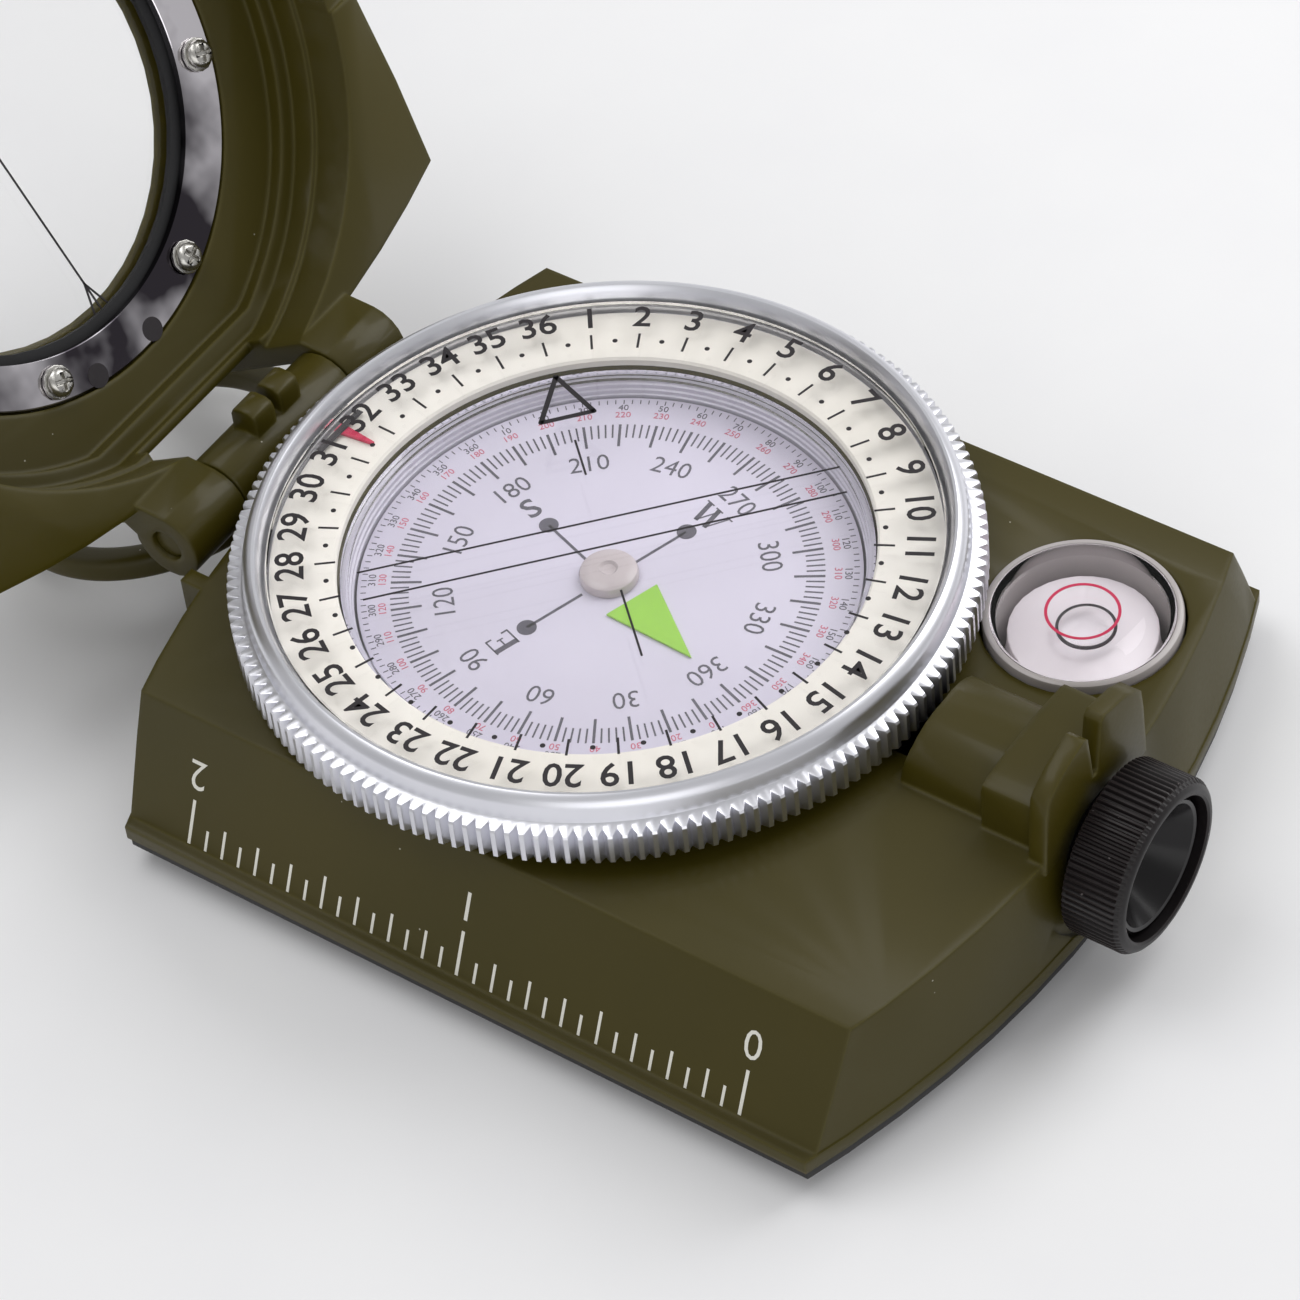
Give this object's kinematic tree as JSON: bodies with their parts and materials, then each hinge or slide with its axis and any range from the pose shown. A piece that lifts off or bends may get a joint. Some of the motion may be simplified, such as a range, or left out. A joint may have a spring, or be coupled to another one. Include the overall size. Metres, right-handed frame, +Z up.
{
  "type": "sighting compass",
  "caption": "Hand-held sighting compass: hinged lid with a sighting window, knurled turning bezel over a magnetic card, round level, prism sight with focusing eyepiece and a thumb ring.",
  "frame": {"origin": "on the foot face of the bottom cover, straight under the bezel's axis", "axes": "+Z up out of the dial, +X from the hinge to the eyepiece, -Y the side with the ruler scale"},
  "size_m": [0.1261, 0.065, 0.0679],
  "materials": {
    "olive_paint": "baked matte olive paint on die casting",
    "hinge_pin": "painted over with the casting",
    "black_cover": "fine textured black plastic",
    "bezel": "machined bright, knurled edge",
    "retainer_chrome": "polished plated ring",
    "steel": "plated steel",
    "clear": "clear, polished",
    "luminous": "cream luminous plastic",
    "card": "printed card, white ground",
    "red": "red marker",
    "white_plastic": "white plastic",
    "black_rubber": "rubber gasket",
    "eyepiece_black": "black plastic, fluted grip"
  },
  "bodies": {
    "base": {"base_casting": "olive_paint", "bottom_cover": "black_cover", "cover_screw_1": "steel", "cover_screw_2": "steel", "cover_screw_3": "steel", "cover_screw_4": "steel", "hinge_pin": "hinge_pin", "thumb_ring_pin": "steel", "bezel_snap_ring": "steel", "luminous_ring": "luminous", "index_pointer": "red", "capsule_cup": "clear", "capsule_window": "clear", "pivot_needle": "steel", "level_vial": "clear", "level_disc": "white_plastic", "sight_prism": "clear", "prism_clip": "steel"},
    "lid": {"lid_shell": "olive_paint", "window_pane": "clear", "window_gasket": "black_rubber", "window_retainer": "retainer_chrome", "retainer_screw_1": "steel", "retainer_screw_2": "steel", "retainer_screw_3": "steel", "retainer_screw_4": "steel", "retainer_screw_5": "steel", "retainer_screw_6": "steel", "retainer_screw_7": "steel", "retainer_screw_8": "steel", "spring_washer_1": "steel", "spring_washer_2": "steel", "spring_washer_3": "steel", "spring_washer_4": "steel", "spring_washer_5": "steel", "spring_washer_6": "steel", "spring_washer_7": "steel", "spring_washer_8": "steel"},
    "thumb_ring": {"thumb_ring": "olive_paint"},
    "bezel": {"bezel_ring": "bezel", "bezel_glass": "clear"},
    "card": {"compass_card": "card", "card_magnet": "steel", "pivot_jewel": "clear"},
    "lens": {"lens_cell": "eyepiece_black", "eyepiece_lens": "clear", "lens_retainer": "steel"},
    "eyepiece": {"eyepiece_ring": "eyepiece_black"}
  },
  "joints": [
    {"name": "lid_hinge", "type": "hinge", "parent": "base", "child": "lid", "pos_m": [-0.03285, 0, 0.01405], "axis": [0, 1, 0], "range_deg": [0, 121.6]},
    {"name": "thumb_ring_hinge", "type": "hinge", "parent": "base", "child": "thumb_ring", "pos_m": [-0.03195, 0, 0.00705], "axis": [0, 1, 0], "range_deg": [-75, 8]},
    {"name": "bezel_turn", "type": "hinge", "parent": "base", "child": "bezel", "pos_m": [0, 0, 0.017], "axis": [0, 0, 1], "continuous": true},
    {"name": "card_turn", "type": "hinge", "parent": "base", "child": "card", "pos_m": [0, 0, 0.0145], "axis": [0, 0, 1], "continuous": true},
    {"name": "focus_slide", "type": "slide", "parent": "base", "child": "lens", "axis": [1, 0, 0], "range_m": [0, 0.0015]},
    {"name": "eyepiece_turn", "type": "hinge", "parent": "lens", "child": "eyepiece", "pos_m": [0.047, 0, 0.01025], "axis": [1, 0, 0], "range_deg": [0, 360]}
  ],
  "couplings": [
    {"joint": "eyepiece_turn", "follows": "focus_slide", "rad_per_m": 4188.8}
  ]
}
